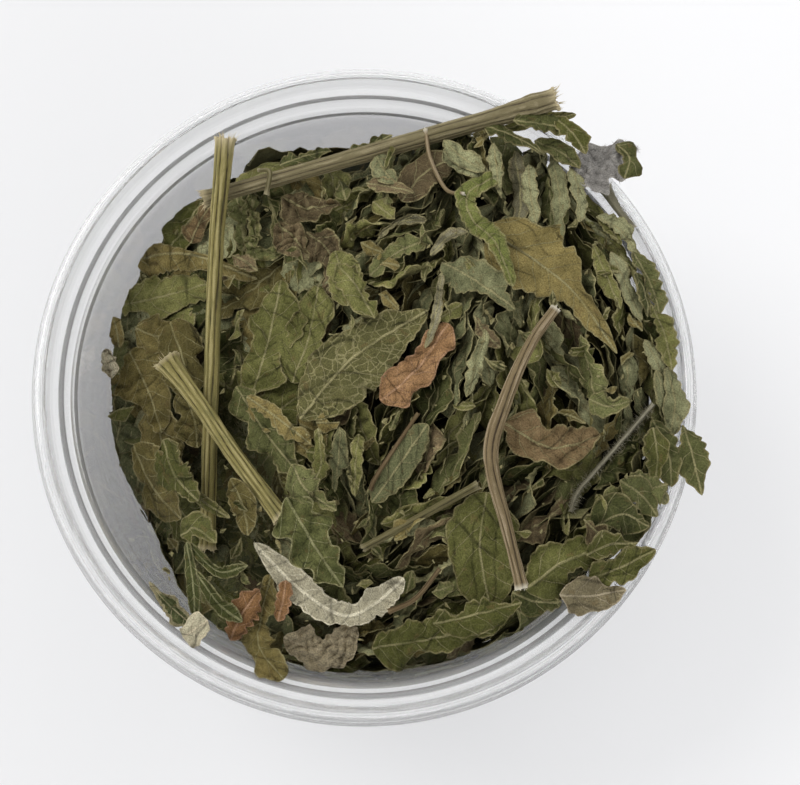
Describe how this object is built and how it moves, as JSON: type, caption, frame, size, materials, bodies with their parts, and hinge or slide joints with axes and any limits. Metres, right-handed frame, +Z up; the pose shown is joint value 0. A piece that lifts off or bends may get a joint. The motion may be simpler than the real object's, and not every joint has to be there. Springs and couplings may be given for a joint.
{
  "type": "dried epazote in a round clear tub",
  "caption": "Open, round, clear plastic deli tub heaped with dried epazote: crumpled dark green leaf pieces, cut ridged stems and fine leaf crumbs.",
  "frame": {"origin": "centre of the tub's flat base, on the surface that it stands on", "axes": "+Z up along the tub's axis; +X to the right and +Y away from the viewer of the picture; the heap is highest on the +X side"},
  "size_m": [0.1195, 0.117, 0.0882],
  "materials": {
    "clear_plastic": "thin clear moulded plastic, slightly hazy, glossy, white at the rolled rim",
    "dark_green_leaf": "matt dried leaf, very dark green, crinkled with fine net veins",
    "olive_leaf": "matt dried leaf, olive green with pale midrib and veins",
    "brown_olive_leaf": "matt dried leaf, brown olive, veined and wrinkled",
    "grey_green_leaf": "matt dried leaf underside, grey green, slightly downy",
    "silver_leaf": "downy silver grey dried leaf",
    "cream_leaf": "matt pale cream dried leaf, crumpled",
    "tan_leaf": "matt reddish tan dried leaf with darker edges",
    "rust_leaf": "matt rust brown dried leaf",
    "brown_leaf": "matt grey brown dried leaf, downy",
    "olive_stem": "dry ridged stem, yellow olive with dark grooves and frayed pale cut ends",
    "brown_stem": "dry thin stem, grey brown striped along its length",
    "grey_stem": "dry thin stalk, grey and downy"
  },
  "bodies": {
    "root": {"tub": "clear_plastic", "leaf_bed": "dark_green_leaf", "leaf_far_left": "brown_olive_leaf", "leaf_left_inner": "brown_olive_leaf", "leaf_left_low": "olive_leaf", "leaf_tan_knob": "cream_leaf", "leaf_olive_flat": "olive_leaf", "leaf_folded_left": "brown_olive_leaf", "leaf_rust": "rust_leaf", "leaf_top_left": "olive_leaf", "leaf_back_left": "dark_green_leaf", "leaf_back_middle": "dark_green_leaf", "leaf_crinkled": "dark_green_leaf", "leaf_top_strip": "olive_leaf", "stem_long": "olive_stem", "stem_upright": "olive_stem", "stem_splayed": "olive_stem", "leaf_fuzzy_brown": "brown_leaf", "leaf_green_broad": "olive_leaf", "leaf_green_upper": "olive_leaf", "leaf_brown_strip": "brown_olive_leaf", "leaf_dark_veined": "dark_green_leaf", "leaf_net_veined": "brown_olive_leaf", "leaf_pale_strip": "grey_green_leaf", "leaf_tan": "tan_leaf", "leaf_brown_top": "brown_leaf", "leaf_pale_top": "grey_green_leaf", "leaf_strip_left": "silver_leaf", "leaf_strip_right": "grey_green_leaf", "leaf_yellow_curved": "olive_leaf", "leaf_olive_broad": "brown_olive_leaf", "leaf_brown_right": "brown_olive_leaf", "leaf_right_strip": "grey_green_leaf", "leaf_right_edge": "dark_green_leaf", "leaf_green_three_sided": "dark_green_leaf", "leaf_overhanging": "dark_green_leaf", "leaf_tongue": "grey_green_leaf", "leaf_serrated": "dark_green_leaf", "leaf_smooth": "olive_leaf", "leaf_toothed_low": "dark_green_leaf", "leaf_folded_low": "olive_leaf", "leaf_grey_round": "grey_green_leaf", "leaf_tip_low": "olive_leaf", "leaf_bottom": "olive_leaf", "leaf_pale_crumpled": "cream_leaf", "leaf_long_tip": "brown_olive_leaf", "leaf_silver_folded": "silver_leaf", "leaf_centre": "olive_leaf", "leaf_red": "tan_leaf", "sprig_lower_left": "olive_leaf", "leaf_pale_edged": "grey_green_leaf", "leaf_cream": "cream_leaf", "stem_petiole": "brown_stem", "leaf_slender": "olive_leaf", "leaf_silver_furry": "silver_leaf", "stem_grey_stalk": "grey_stem", "stem_thin_green": "olive_stem", "stem_bent": "brown_stem", "stem_fuzzy": "grey_stem"}
  },
  "joints": []
}
